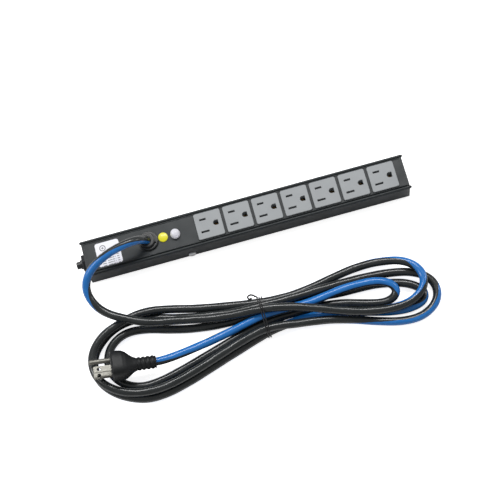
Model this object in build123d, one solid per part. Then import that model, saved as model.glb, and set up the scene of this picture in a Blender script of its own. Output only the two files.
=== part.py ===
"""Rack power strip: an aluminium channel with seven outlets, a reset breaker, two lamps and a coiled cord.

Millimetres. The origin is the centre of the channel's flat back face, +X runs along the strip towards
the end away from the cord, +Y across it, and +Z out of the outlets.
"""

from build123d import *
import math
import os

# Channel and face plate
BODY_LENGTH = 326.4
CAP_THICK = 2.4
WALL_HALF = 17.0
WALL = 1.8
BACK_THICK = 1.8
BACK_RADIUS = 3.5
RAIL_Y = 16.75
RAIL_Z = 29.3
RAIL_R = 1.5
UNDERCUT_Z = (24.6, 27.0)
UNDERCUT_DEPTH = 0.5
PLATE_HALF = 15.05
PLATE_Z = (28.6, 30.4)
BEAD_R = 0.7
TONGUE_Z = (27.4, 28.3)
TONGUE_HALF = 15.8
LEG = 1.2
FIT = 0.15
RUNNING = 0.05

# End caps and their screws
EAR_OUT = 1.6
SINK_DEPTH = 1.2
SCREW_Y = 12.4
SCREW_Z = 4.1
BOSS_R = 2.4
PILOT_R = 1.25
SCREW_R = 1.2
SCREW_LENGTH = 10.0
SCREW_HEAD_R = 2.3
SCREW_PLAY = 0.1

# Outlets: slot sizes and spacing are those of a 15 A, 125 V grounding receptacle
OUTLETS = 7
PITCH = 29.4
FIRST_OUTLET_X = -36.2
OUTLET_TOP = 32.5
FACE_SIZE = (26.5, 27.0)
FACE_CORNER = 1.8
INSERT_SIZE = (24.4, 24.8)
INSERT_Z = 23.0
CUTOUT_GAP = 0.1
SLOT_LINE = -5.2
SLOT_SPACING = 12.7
SLOT_WIDTH = 2.0
HOT_SLOT = 6.6
NEUTRAL_SLOT = 8.2
GROUND_OFFSET = 11.9
GROUND_HOLE_R = 2.65
GROUND_FLAT = 2.65
SNAP_Z = (26.2, 28.45)
SNAP_OUT = 0.8
REAR_Z = (9.2, 22.95)
CHANNEL_FLOOR = 10.6
BLADE_CHANNEL_HALF = 2.2
GROUND_CHANNEL_HALF = 3.05

# Bus bars
BAR_Z = 10.7
BAR_THICK = 0.8
BAR_HALF = 2.0
BAR_START = -57.0
BAR_END = 151.0
LEAF_TOP = 22.3
LEAF_THROAT_Z = 18.5
LEAF_THROAT = 0.65
LEAF_MOUTH = 1.4
LEAF_THICK = 0.6
LEAF_LENGTH = 6.8
SOCKET_R = (2.15, 2.75)
SOCKET_SLIT = 1.6

# Breaker in the left end cap
BREAKER_Z = 15.3
CASE_X = (-160.3, -128.0)
CASE_HALF = (7.5, 9.0)
CASE_WALL = 1.5
NECK_R = 4.7
NECK_END = -169.0
BUTTON_R = 3.7
BUTTON_X = (-173.3, -162.0)
STEM_R = 1.6
STEM_END = -134.2
COLLAR_R = 3.0
COLLAR_X = (-151.0, -149.5)
PARTITION_X = (-141.0, -139.5)
BRIDGE_THICK = 1.0
BRIDGE_HALF = (2.5, 6.5)
PAD_GAP = 0.02
CONTACT_X = STEM_END + BRIDGE_THICK + PAD_GAP
TERMINAL_END = -120.0
TERMINAL_Z = 5.25
TERMINAL_THICK = 0.8
TERMINAL_WIDTH = 6.3
NUT_FLATS = 15.9
NUT_THICK = 3.0
WASHER_R = 8.5
WASHER_THICK = 0.8

# Lamps
CLEAR_LAMP_X = -70.7
YELLOW_LAMP_X = -83.1
LAMP_HOLE_R = 4.2
LAMP_FLOOR = 17.0
LENS_R = 4.8

# Insulating liner
LINER_HALF = 9.2
LINER_TOP = 8.6
LINER_THICK = 0.5

# Bonding screw through the side wall
BOND_X = -60.0
BOND_Z = 9.7
BOND_R = 1.75
BOND_NUT_HALF = 3.0
RING_R = 3.1
BOND_HEAD_R = 3.9
BOND_NUT = (-15.2, -12.9)
RING_THICK = 0.8

# Strain relief and cord
ENTRY_X = -97.7
ENTRY_HOLE_R = 8.0
ENTRY_TILT = 18.0
CORD_R = 4.1
CORD_GAP = 0.25
BUSHING_R = 9.7
JACKET_START_Z = 14.0
ENTRY_TOP_Z = 37.0
BAR_STRETCH = 7
WIRE_R = 1.5
SLEEVE_WALL = 0.7
SLEEVE_HALF = 1.2
BREAKER_SLEEVE_X = TERMINAL_END + 3.0
BREAKER_SLEEVE_LENGTH = 9.0
BUS_SLEEVE_X = BAR_START - 7.0
BUS_SLEEVE_LENGTH = 11.0
LEAD_GAP = 0.3
LEAD_APART = 2.2
THIN_WIRE_R = 0.4
TIE_X = -8
TIE_WIRE_R = 0.6
TIE_GAP = 0.55
TIE_SPREAD = 1.1

# Plug: a 15 A, 125 V grounding plug lying on the coil
PLUG_FACE = Vector(-163.5, -111.5, 23.8)
PLUG_REAR = Vector(-120.4, -115.7, 17.2)
BLADE_SIDE = Vector(0.13, 0.23, 0.96)
BLADE_LENGTH = 17.5
BLADE_WIDTH = 6.35
BLADE_THICK = 1.5
BLADE_DROP = 3.6
BLADE_ROOT = 6.9
BLADE_HOLE_R = 1.98
BLADE_HOLE_AT = 11.9
PIN_R = 2.38
PIN_LENGTH = 21.0
PIN_ROOT_R = 2.7
PLUG_FACE_SIZE = (24.0, 28.0)
PLUG_BODY_LENGTH = 24.5
PLUG_NECK_R = 6.2
RIBS = 5
RIB_PITCH = 3.8
RIB_WIDTH = 2.3
PLUG_GRIP = 12.0
PLUG_INSERT = (18.0, 20.0, 7.0)
INSERT_SHIFT = 2.3

# Rating label
LABEL_X = (-150.5, -126.5)
LABEL_Y = (-13.0, 11.6)
LABEL_THICK = 0.15

HALF = BODY_LENGTH / 2
INNER_HALF = WALL_HALF - WALL
CHANNEL_END = HALF - CAP_THICK
PLATE_TOP = PLATE_Z[1]
OUTLET_X = [FIRST_OUTLET_X + PITCH * i for i in range(OUTLETS)]
HOT_Y = SLOT_SPACING / 2
GROUND_X = SLOT_LINE + GROUND_OFFSET


def box(x, y, z):
    """A box between pairs of limits."""
    size = Box(x[1] - x[0], y[1] - y[0], z[1] - z[0])
    return Pos((x[0] + x[1]) / 2, (y[0] + y[1]) / 2, (z[0] + z[1]) / 2) * size


def rod(start, end, radius):
    """A straight round bar between two points."""
    start, end = Vector(start), Vector(end)
    plane = Plane(origin=start, z_dir=end - start)
    return extrude(plane * Circle(radius), (end - start).length)


def ring(start, end, outer, inner):
    """A straight round tube between two points."""
    start, end = Vector(start), Vector(end)
    plane = Plane(origin=start, z_dir=end - start)
    return extrude(plane * (Circle(outer) - Circle(inner)), (end - start).length)


def along_x(sketch, start, end):
    """A sketch in the YZ plane, extruded from one x to another."""
    return extrude(Plane.YZ.offset(start) * sketch, end - start)


def patch(y, z):
    """A rectangle in the strip's cross-section, between pairs of limits."""
    size = Rectangle(y[1] - y[0], z[1] - z[0])
    return Pos((y[0] + y[1]) / 2, (z[0] + z[1]) / 2) * size


def both_sides(section):
    """A cross-section and its mirror image about the strip's middle plane."""
    return section + mirror(section, Plane.YZ)


def on_axis(x):
    """A point on the breaker's axis."""
    return (x, 0, BREAKER_Z)


# --- Housing -----------------------------------------------------------------------------------------

def channel_outline():
    """The outer outline of the channel, rails included."""
    wall = patch((-WALL_HALF, WALL_HALF), (0, RAIL_Z))
    low_corners = wall.vertices().sort_by(Axis.Y)[:2]
    wall = fillet(low_corners, BACK_RADIUS)
    undercut = patch((WALL_HALF - UNDERCUT_DEPTH, WALL_HALF + 1), UNDERCUT_Z)
    rail = Pos(RAIL_Y, RAIL_Z) * Circle(RAIL_R)
    return wall - both_sides(undercut) + both_sides(rail)


def make_housing_channel():
    """A U-shaped extrusion with bead rails, slots for the face plate and screw bosses."""
    inside = patch((-INNER_HALF, INNER_HALF), (BACK_THICK, RAIL_Z + 2 * RAIL_R))
    boss = Pos(SCREW_Y, SCREW_Z) * Circle(BOSS_R)
    pilot = Pos(SCREW_Y, SCREW_Z) * Circle(PILOT_R)
    slot = patch((INNER_HALF - 1, TONGUE_HALF + FIT), (TONGUE_Z[0] - FIT, TONGUE_Z[1] + FIT))
    section = channel_outline() - inside + both_sides(boss) - both_sides(pilot) - both_sides(slot)
    body = along_x(section, -CHANNEL_END, CHANNEL_END)
    bonding_hole = rod((BOND_X, -WALL_HALF - 1, BOND_Z), (BOND_X, -INNER_HALF + 1, BOND_Z), BOND_R + 0.1)
    return body - bonding_hole


def make_face_plate():
    """The sliding front plate with its edge beads and cut-outs."""
    slab = patch((-PLATE_HALF, PLATE_HALF), PLATE_Z)
    bead = Pos(PLATE_HALF - BEAD_R, PLATE_TOP - 0.2) * Circle(BEAD_R)
    leg = patch((PLATE_HALF - LEG, PLATE_HALF), (TONGUE_Z[0], PLATE_Z[0]))
    tongue = patch((PLATE_HALF - LEG, TONGUE_HALF), TONGUE_Z)
    plate = along_x(slab + both_sides(bead) + both_sides(leg + tongue), -CHANNEL_END, CHANNEL_END)
    depth = 3 * BEAD_R + PLATE_TOP - PLATE_Z[0]
    for x in OUTLET_X:
        opening = RectangleRounded(INSERT_SIZE[0] + 2 * CUTOUT_GAP, INSERT_SIZE[1] + 2 * CUTOUT_GAP, 1.0)
        plate -= extrude(Pos(x, 0, PLATE_Z[0] - BEAD_R) * opening, depth)
    for x, radius in ((ENTRY_X, ENTRY_HOLE_R), (CLEAR_LAMP_X, LAMP_HOLE_R), (YELLOW_LAMP_X, LAMP_HOLE_R)):
        plate -= extrude(Pos(x, 0, PLATE_Z[0] - BEAD_R) * Circle(radius), depth)
    return plate


def make_end_cap(side):
    """A flat cap whose ears round off the ends of the rails; side is -1 or 1 along X."""
    inner, outer = side * CHANNEL_END, side * HALF
    top = patch((-PLATE_HALF, PLATE_HALF), (PLATE_Z[0] - 1, PLATE_TOP + 0.3))
    cap = along_x(channel_outline() + top, min(inner, outer), max(inner, outer))
    for y in (-RAIL_Y, RAIL_Y):
        cap += Pos(outer, y, RAIL_Z) * scale(Sphere(RAIL_R), (EAR_OUT / RAIL_R, 1, 1))
    for y in (-SCREW_Y, SCREW_Y):
        cap -= rod((inner - side, y, SCREW_Z), (outer, y, SCREW_Z), SCREW_R + SCREW_PLAY)
        sink = Cone(SCREW_HEAD_R + SCREW_PLAY, SCREW_R + SCREW_PLAY, SINK_DEPTH)
        cap -= Plane(origin=(outer, y, SCREW_Z), z_dir=(-side, 0, 0)) * Pos(0, 0, SINK_DEPTH / 2) * sink
    if side < 0:
        cap -= rod((outer - 1, 0, BREAKER_Z), (inner + 1, 0, BREAKER_Z), NECK_R + 0.1)
    return cap


def make_end_cap_screws():
    """Four countersunk screws, two in each end cap."""
    screws = []
    for side in (-1, 1):
        for y in (-SCREW_Y, SCREW_Y):
            plane = Plane(origin=(side * HALF, y, SCREW_Z), z_dir=(-side, 0, 0))
            head = Pos(0, 0, SINK_DEPTH / 2) * Cone(SCREW_HEAD_R, SCREW_R, SINK_DEPTH)
            shank = Pos(0, 0, SCREW_LENGTH / 2) * Cylinder(SCREW_R, SCREW_LENGTH)
            recess = Pos(0, 0, 0.4) * (Box(2.6, 0.5, 0.8) + Box(0.5, 2.6, 0.8))
            screws.append(plane * (head + shank - recess))
    return screws


def make_insulating_liner():
    """A folded insulating tray between the live parts and the back of the channel."""
    floor = BACK_THICK + RUNNING
    inside = LINER_HALF - LINER_THICK
    outer = patch((-LINER_HALF, LINER_HALF), (floor, LINER_TOP))
    inner = patch((-inside, inside), (floor + LINER_THICK, LINER_TOP))
    return along_x(outer - inner, -CHANNEL_END + 1, CHANNEL_END - 1)


def make_rating_label():
    """A thin label with rounded corners on the face plate."""
    middle = Pos(sum(LABEL_X) / 2, sum(LABEL_Y) / 2, PLATE_TOP)
    outline = RectangleRounded(LABEL_X[1] - LABEL_X[0], LABEL_Y[1] - LABEL_Y[0], 2.5)
    return extrude(middle * outline, LABEL_THICK)


# --- Outlets -----------------------------------------------------------------------------------------

def make_outlet_face(x):
    """A moulded face whose flange sits on the plate, with its slots, ground hole and snap tabs."""
    flange = extrude(Pos(x, 0, PLATE_TOP) * RectangleRounded(*FACE_SIZE, FACE_CORNER), OUTLET_TOP - PLATE_TOP)
    flange = fillet(flange.faces().sort_by(Axis.Z)[-1].edges(), 0.5)
    insert = extrude(Pos(x, 0, INSERT_Z) * RectangleRounded(*INSERT_SIZE, 0.8), PLATE_TOP - INSERT_Z)
    tab = Plane.XZ.offset(-4) * make_face(
        Polyline(
            (INSERT_SIZE[0] / 2 - 0.5, SNAP_Z[0]),
            (INSERT_SIZE[0] / 2, SNAP_Z[0]),
            (INSERT_SIZE[0] / 2 + SNAP_OUT, SNAP_Z[1] - 0.6),
            (INSERT_SIZE[0] / 2 + SNAP_OUT, SNAP_Z[1]),
            (INSERT_SIZE[0] / 2 - 0.5, SNAP_Z[1]),
            close=True,
        )
    )
    tab = extrude(tab, 8)
    face = flange + insert + Pos(x, 0, 0) * tab + Pos(x, 0, 0) * mirror(tab, Plane.YZ)
    deep = (INSERT_Z - 1, OUTLET_TOP + 1)
    for y, length in ((HOT_Y, HOT_SLOT), (-HOT_Y, NEUTRAL_SLOT)):
        face -= box(
            (x + SLOT_LINE - length / 2, x + SLOT_LINE + length / 2),
            (y - SLOT_WIDTH / 2, y + SLOT_WIDTH / 2),
            deep,
        )
    face -= rod((x + GROUND_X, 0, deep[0]), (x + GROUND_X, 0, deep[1]), GROUND_HOLE_R)
    return face - box((x + GROUND_X, x + GROUND_X + GROUND_FLAT), (-GROUND_HOLE_R, GROUND_HOLE_R), deep)


def make_outlet_back(x):
    """The rear cover of an outlet, with a channel for each bus bar."""
    section = patch((-INSERT_SIZE[1] / 2, INSERT_SIZE[1] / 2), REAR_Z)
    for y, half in ((HOT_Y, BLADE_CHANNEL_HALF), (0, GROUND_CHANNEL_HALF), (-HOT_Y, BLADE_CHANNEL_HALF)):
        section -= patch((y - half, y + half), (CHANNEL_FLOOR, REAR_Z[1] + 1))
    return along_x(section, x - INSERT_SIZE[0] / 2, x + INSERT_SIZE[0] / 2)


def make_blade_bar(y):
    """A stamped strip with a pair of spring leaves at each outlet."""
    bar = box((BAR_START, BAR_END), (y - BAR_HALF, y + BAR_HALF), (BAR_Z, BAR_Z + BAR_THICK))
    outer = LEAF_MOUTH + LEAF_THICK
    leaf = make_face(
        Polyline(
            (LEAF_MOUTH, BAR_Z + BAR_THICK / 2),
            (outer, BAR_Z + BAR_THICK / 2),
            (LEAF_THROAT + LEAF_THICK, LEAF_THROAT_Z),
            (outer, LEAF_TOP),
            (LEAF_MOUTH, LEAF_TOP),
            (LEAF_THROAT, LEAF_THROAT_Z),
            close=True,
        )
    )
    leaves = Pos(y, 0) * both_sides(leaf)
    for x in OUTLET_X:
        bar += along_x(leaves, x + SLOT_LINE - LEAF_LENGTH / 2, x + SLOT_LINE + LEAF_LENGTH / 2)
    return bar


def make_ground_bar():
    """A stamped strip with a slit round socket at each outlet."""
    bar = box((BAR_START, BAR_END), (-BAR_HALF, BAR_HALF), (BAR_Z, BAR_Z + BAR_THICK))
    for x in OUTLET_X:
        centre = x + GROUND_X
        socket = ring((centre, 0, BAR_Z), (centre, 0, LEAF_TOP), SOCKET_R[1], SOCKET_R[0])
        slit = box((centre - 5, centre + 5), (-SOCKET_SLIT / 2, SOCKET_SLIT / 2), (BAR_Z + 2, LEAF_TOP + 1))
        bar += socket - slit
    return bar


# --- Breaker -----------------------------------------------------------------------------------------

def case_slot(side, clearance):
    """The space of a breaker terminal where it leaves the case; side is -1 for the lower one."""
    middle = BREAKER_Z + side * TERMINAL_Z
    half_z = TERMINAL_THICK / 2 + clearance
    half_y = TERMINAL_WIDTH / 2 + clearance
    return box((CONTACT_X, TERMINAL_END), (-half_y, half_y), (middle - half_z, middle + half_z))


def make_breaker_case():
    """A hollow moulded case with its threaded neck and the stem's guide wall."""
    half_y, half_z = CASE_HALF
    case = box(CASE_X, (-half_y, half_y), (BREAKER_Z - half_z, BREAKER_Z + half_z))
    case = fillet(case.edges().filter_by(Axis.X), 1.0)
    hollow_y, hollow_z = half_y - CASE_WALL, half_z - CASE_WALL
    for start, end in ((CASE_X[0] + CASE_WALL, PARTITION_X[0]), (PARTITION_X[1], CASE_X[1] - CASE_WALL)):
        case -= box((start, end), (-hollow_y, hollow_y), (BREAKER_Z - hollow_z, BREAKER_Z + hollow_z))
    case += rod(on_axis(NECK_END), on_axis(CASE_X[0] + 0.5), NECK_R)
    case -= rod(on_axis(NECK_END - 1), on_axis(CASE_X[0] + CASE_WALL + 0.5), BUTTON_R + RUNNING)
    case -= rod(on_axis(PARTITION_X[0] - 1), on_axis(PARTITION_X[1] + 1), STEM_R + RUNNING)
    return case - case_slot(-1, RUNNING) - case_slot(1, RUNNING)


def make_breaker_button():
    """The reset button with its stem and spring collar."""
    head = rod(on_axis(BUTTON_X[0]), on_axis(BUTTON_X[1]), BUTTON_R)
    head = fillet(head.edges().sort_by(Axis.X)[:1], 1.2)
    stem = rod(on_axis(BUTTON_X[1] - 1), on_axis(STEM_END), STEM_R)
    return head + stem + rod(on_axis(COLLAR_X[0]), on_axis(COLLAR_X[1]), COLLAR_R)


def make_breaker_spring():
    """A compression spring between the guide wall and the collar."""
    wire = 0.3
    radius = STEM_R + 0.15 + wire
    length = PARTITION_X[0] - COLLAR_X[1] - 2 * wire - 0.1
    coil = Helix(pitch=length / 5, height=length, radius=radius)
    section = Plane(origin=coil @ 0, z_dir=coil % 0) * Circle(wire)
    spring = sweep(section, path=coil, is_frenet=True)
    return Pos(COLLAR_X[1] + wire + RUNNING, 0, BREAKER_Z) * Rot(0, 90, 0) * spring


def make_breaker_bridge():
    """The moving contact, riveted to the end of the stem."""
    half_y, half_z = BRIDGE_HALF
    limits = (STEM_END, STEM_END + BRIDGE_THICK)
    return box(limits, (-half_y, half_y), (BREAKER_Z - half_z, BREAKER_Z + half_z))


def make_breaker_terminal(side):
    """A fixed contact that leaves the case as a quick-connect blade."""
    blade = case_slot(side, 0)
    pad = Plane(origin=(CONTACT_X, 0, BREAKER_Z + side * TERMINAL_Z), z_dir=(1, 0, 0))
    hole = Pos(TERMINAL_END - 3, 0, BREAKER_Z + side * TERMINAL_Z) * Cylinder(0.9, 3)
    return blade + extrude(pad * Circle(1.2), 0.8) - hole


def make_breaker_bimetal():
    """The heat-sensing strip beside the stem."""
    return box((-157.5, -142.0), (-2.0, 2.0), (BREAKER_Z + 5.6, BREAKER_Z + 6.2))


def make_breaker_nut():
    """The hexagonal panel nut outside the end cap."""
    face = -HALF - WASHER_THICK
    plane = Plane(origin=on_axis(face), z_dir=(-1, 0, 0))
    nut = extrude(plane * RegularPolygon(NUT_FLATS / 2, 6, major_radius=False), NUT_THICK)
    nut = chamfer(nut.faces().sort_by(Axis.X)[0].edges(), 0.4)
    return nut - rod(on_axis(face + 1), on_axis(face - NUT_THICK - 1), NECK_R + RUNNING)


def make_breaker_washer():
    """A lock washer with teeth round its rim."""
    start = on_axis(-HALF - WASHER_THICK)
    washer = ring(start, on_axis(-HALF), WASHER_R, NECK_R + RUNNING)
    for i in range(12):
        angle = 2 * math.pi * i / 12
        y, z = WASHER_R * math.cos(angle), WASHER_R * math.sin(angle)
        washer -= rod((-HALF - 2, y, BREAKER_Z + z), (-HALF + 1, y, BREAKER_Z + z), 0.8)
    return washer


# --- Lamps -------------------------------------------------------------------------------------------

def make_lens(x, height, rise):
    """A lamp lens: a flange, a barrel of the given height and a dome of the given rise."""
    barrel_r = LENS_R - 0.3
    barrel_top = PLATE_TOP + height
    dome_r = (barrel_r**2 + rise**2) / (2 * rise)
    flange = rod((x, 0, PLATE_TOP), (x, 0, PLATE_TOP + 1.0), LENS_R)
    flange = chamfer(flange.edges().sort_by(Axis.Z)[-1:], 0.25)
    dome = rod((x, 0, barrel_top), (x, 0, barrel_top + rise + 1), barrel_r)
    dome &= Pos(x, 0, barrel_top + rise - dome_r) * Sphere(dome_r)
    return flange + rod((x, 0, PLATE_TOP - 1), (x, 0, barrel_top), LAMP_HOLE_R - 1.3) + dome + rod(
        (x, 0, PLATE_TOP), (x, 0, barrel_top), barrel_r
    )


def lamp_body(x):
    """The barrel of a lamp behind the face plate."""
    barrel = ring((x, 0, LAMP_FLOOR), (x, 0, PLATE_TOP - RUNNING), LAMP_HOLE_R - 0.1, LAMP_HOLE_R - 1.2)
    floor = ring((x, 0, LAMP_FLOOR), (x, 0, LAMP_FLOOR + 1), LAMP_HOLE_R - 0.5, 1.4)
    return barrel + floor


def lamp_clip(x):
    """The push-on ring that holds a lamp body against the plate."""
    z = PLATE_Z[0] - 0.7
    return ring((x, 0, z), (x, 0, z + 0.6), 6.2, LAMP_HOLE_R - RUNNING)


def neon_bulb(x):
    """A small glass bulb inside the lamp body."""
    bulb = rod((x, 0, LAMP_FLOOR + 2), (x, 0, LAMP_FLOOR + 8), 2.2)
    return fillet(bulb.edges().sort_by(Axis.Z)[-1:], 1.5)


def lamp_resistor(x):
    """The series resistor under a lamp."""
    middle = x + 1.5
    return rod((middle, 4.5, LAMP_FLOOR - 3.0), (middle, 9.5, LAMP_FLOOR - 3.0), 1.1)


# --- Cord --------------------------------------------------------------------------------------------

def entry_direction():
    """The way the cord leaves the strain relief: out of the face and leaning towards the left end."""
    lean = math.radians(ENTRY_TILT)
    return Vector(-math.sin(lean), 0, math.cos(lean))


def entry_point(z):
    """The point at a height on the straight stretch through the strain relief."""
    along = entry_direction()
    return Vector(ENTRY_X, 0, PLATE_TOP) + along * ((z - PLATE_TOP) / along.Z)


# The cord after its straight stretch, pass by pass. Each pass runs between the ends of the coil, and the
# heights keep a cord's width where one pass lies over another.
ARCH = [(-112, -2.5, 50.5), (-127, -5, 51), (-144, -10, 48.5), (-159, -17.5, 41.5), (-166.5, -26.5, 34)]
LEAD_DOWN = [(-168, -34.5, 28.5), (-165.5, -43.5, 25), (-156, -56, 22), (-139, -67, 21.5), (-121, -75, 19)]
LEAD_PASS = [(-98, -79.5, 15), (-70, -85, 13), (-40, -90.5, 15.5), (-8, -94, 20.5), (18, -99.5, 21.5)]
LEAD_FAR = [(42, -107, 19), (68, -116, 15.5), (96, -123.5, 13.5), (121, -125.5, 13), (138, -121.5, 13)]
FIRST_TURN = [
    (148, -113, 13.5), (151, -104, 13.5), (149, -95, 13.5), (139.5, -84.5, 12.5), (122.5, -77.5, 9.5),
]
SECOND_PASS = [(101, -74.5, 6), (78, -76, 4.5), (52, -80.5, 4.5), (25, -84, 5), (-8, -83, 6)]
SECOND_FAR = [(-42, -77, 4.5), (-75, -70.5, 5.5), (-100, -65, 8.5), (-124, -63.5, 12.5), (-146, -68, 13)]
OUTER_LEFT = [(-165, -76, 13), (-177, -88, 13), (-181.5, -102, 13), (-179, -115.5, 13), (-167.5, -129.5, 13)]
THIRD_PASS = [
    (-148, -138.5, 12), (-125, -141, 11.5), (-96, -136, 11.5), (-60, -125, 11.5), (-28, -115.5, 12.5),
]
THIRD_FAR = [(-8, -112.5, 14.5), (18, -115, 13.5), (43, -118, 11), (66, -122.5, 8), (93, -131, 5)]
OUTER_RIGHT = [
    (115, -137.5, 4.5), (139, -138.5, 4.5), (155.5, -129.5, 4.5), (161, -117, 4.5), (157.5, -105, 4.5),
]
FOURTH_PASS = [(144, -94.5, 4.5), (121, -88.5, 4.5), (98, -86.5, 5), (76, -86.5, 7), (52, -87.5, 10.5)]
FOURTH_FAR = [(25, -89, 13), (-8, -88.5, 13), (-34, -86.5, 9), (-60, -82, 5.5), (-95, -74.5, 4.5)]
HIDDEN_LEFT = [
    (-122.5, -67, 4.5), (-146, -67.5, 4.5), (-166, -77.5, 4.5), (-178, -91.5, 4.5), (-181, -106, 4.5),
]
FIFTH_PASS = [
    (-176, -121.5, 4.5), (-160.5, -136.5, 4.5), (-136, -146, 4.5), (-106, -143.5, 4.5), (-62, -130.5, 4.5),
]
FIFTH_FAR = [(-28, -120, 5), (-8, -114.5, 6), (20, -110.5, 4.5), (52, -111.5, 4.5), (79.5, -117.5, 4.5)]
INNER_RIGHT = [
    (108.5, -125.5, 4.5), (135, -127.5, 4.5), (147, -121.5, 4.5), (148, -117, 4.5), (140.5, -107, 4.5),
]
SIXTH_PASS = [(121, -99, 4.5), (98, -95.5, 4.5), (76, -95, 4.5), (52, -93.5, 4.5), (-8, -93.5, 6)]
SIXTH_FAR = [(-40, -94, 4.5), (-70, -91.5, 4.5), (-100, -85, 4.5), (-125, -78, 4.5), (-144, -77.5, 4.5)]
INNER_LEFT = [
    (-158, -84.5, 4.5), (-165.5, -96, 4.5), (-166, -111, 4.5), (-158, -124, 4.5), (-141, -132.5, 4.5),
]
SEVENTH_PASS = [(-116, -131.5, 4.5), (-84, -123.5, 4.5), (-54, -115, 4.5), (-24, -107, 5), (-8, -104.5, 6)]
SEVENTH_FAR = [(20, -102, 4.5), (48, -102.5, 4.5), (74, -107, 4.5), (100, -114.5, 5), (116, -115, 7.5)]
SMALL_TURN = [(121, -111.5, 9.5), (122, -108.5, 10.5), (120.5, -104, 12), (112.5, -98, 13.5), (91, -94, 13.5)]
TAIL_PASS = [(68, -94.5, 13), (44, -97.5, 12.5), (18, -98.5, 13), (-8, -99, 13), (-40, -104, 10)]
TAIL_END = [(-66, -109, 11), (-90, -113.5, 15)]


def cord_points():
    """The route of the cord's centre line after the strain relief, up to the plug."""
    return (
        ARCH + LEAD_DOWN + LEAD_PASS + LEAD_FAR + FIRST_TURN + SECOND_PASS + SECOND_FAR + OUTER_LEFT
        + THIRD_PASS + THIRD_FAR + OUTER_RIGHT + FOURTH_PASS + FOURTH_FAR + HIDDEN_LEFT + FIFTH_PASS
        + FIFTH_FAR + INNER_RIGHT + SIXTH_PASS + SIXTH_FAR + INNER_LEFT + SEVENTH_PASS + SEVENTH_FAR
        + SMALL_TURN + TAIL_PASS + TAIL_END
    )


def long_bar(points, radius):
    """A round bar along a long smooth curve: a run of short sweeps whose skins close up into one solid."""
    last = len(points) - 1
    headings = [(points[min(i + 1, last)] - points[max(i - 1, 0)]).normalized() for i in range(last + 1)]
    skin = []
    ends = []
    for first in range(0, last, BAR_STRETCH):
        final = min(first + BAR_STRETCH, last)
        ends_at = (headings[first], headings[final])
        path = Spline(*points[first:final + 1], tangents=ends_at, tangent_scalars=(1, 1))
        stretch = sweep(Plane(origin=path @ 0, z_dir=path % 0) * Circle(radius), path=path)
        flat = stretch.faces().filter_by(GeomType.PLANE)
        skin += [face for face in stretch.faces() if face not in flat]
        ends += [flat.sort_by_distance(points[first])[0], flat.sort_by_distance(points[final])[0]]
    return Solid(Shell([*skin, ends[0], ends[-1]]))


def make_power_cord():
    """The jacketed cord from inside the housing, through the coil and into the plug."""
    straight = [entry_point(z) for z in (JACKET_START_Z, (JACKET_START_Z + ENTRY_TOP_Z) / 2, ENTRY_TOP_Z)]
    into_plug = (PLUG_FACE - PLUG_REAR).normalized()
    coil = [Vector(*point) for point in cord_points()]
    return long_bar([*straight, *coil, PLUG_REAR, PLUG_REAR + into_plug * (PLUG_GRIP - 0.1)], CORD_R)


def wire(points, radius):
    """A wire along a smooth curve through points."""
    path = Spline(*points)
    section = Plane(origin=path @ 0, z_dir=path % 0) * Circle(radius)
    return sweep(section, path=path)


def make_strain_relief():
    """The bushing that grips the cord in the face plate, and the wedge that locks it."""
    flange = extrude(Pos(ENTRY_X, 0, PLATE_TOP) * Circle(BUSHING_R), 2.6)
    flange = fillet(flange.edges().sort_by(Axis.Z)[-1:], 1.0)
    collar = extrude(Pos(ENTRY_X - 1, 0, PLATE_TOP + 2) * Circle(7.4), 3.4)
    collar = fillet(collar.edges().sort_by(Axis.Z)[-1:], 1.0)
    shank = extrude(Pos(ENTRY_X, 0, PLATE_Z[0] - 5) * Circle(ENTRY_HOLE_R - 0.1), PLATE_TOP - PLATE_Z[0] + 5)
    bore = rod(entry_point(PLATE_TOP - 12), entry_point(PLATE_TOP + 12), CORD_R + CORD_GAP)
    wedge_box = ((ENTRY_X + 2.2, ENTRY_X + 7.2), (-3.5, 3.5), (PLATE_Z[0] - 6, PLATE_TOP + 4.2))
    bushing = flange + collar + shank - bore - box(*wedge_box)
    lock = box(
        (wedge_box[0][0] + RUNNING, wedge_box[0][1] - RUNNING),
        (wedge_box[1][0] + RUNNING, wedge_box[1][1] - RUNNING),
        (PLATE_Z[0] - 4, PLATE_TOP + 4),
    )
    return bushing, lock - bore


def make_twist_tie():
    """A plastic-coated wire wrapped twice round the coil where its passes lie together."""
    passes = [(y, z) for x, y, z in cord_points() if x == TIE_X]
    reach = CORD_R + TIE_WIRE_R + TIE_GAP
    corners = []
    for degrees in range(360):
        across, up = math.cos(math.radians(degrees)), math.sin(math.radians(degrees))
        outermost = max(passes, key=lambda place: place[0] * across + place[1] * up)
        if outermost not in corners:
            corners.append(outermost)
    around = offset(make_face(Polyline(*corners, close=True)), reach, kind=Kind.ARC).wire()
    top_y, top_z = max(passes, key=lambda place: place[1])
    top_z += reach
    tie = rod((TIE_X - TIE_SPREAD, top_y, top_z), (TIE_X + TIE_SPREAD, top_y, top_z), 1.5 * TIE_WIRE_R)
    for x in (TIE_X - TIE_SPREAD, TIE_X + TIE_SPREAD):
        path = Plane.YZ.offset(x) * around
        tie += sweep(Plane(origin=path @ 0, z_dir=path % 0) * Circle(TIE_WIRE_R), path=path)
    curl = [
        (TIE_X, top_y, top_z + 0.3), (TIE_X - 3, top_y + 4, top_z + 1.5), (TIE_X - 6, top_y + 8, top_z - 2),
        (TIE_X - 8, top_y + 12, top_z - 5),
    ]
    return tie + wire(curl, TIE_WIRE_R)


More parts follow.
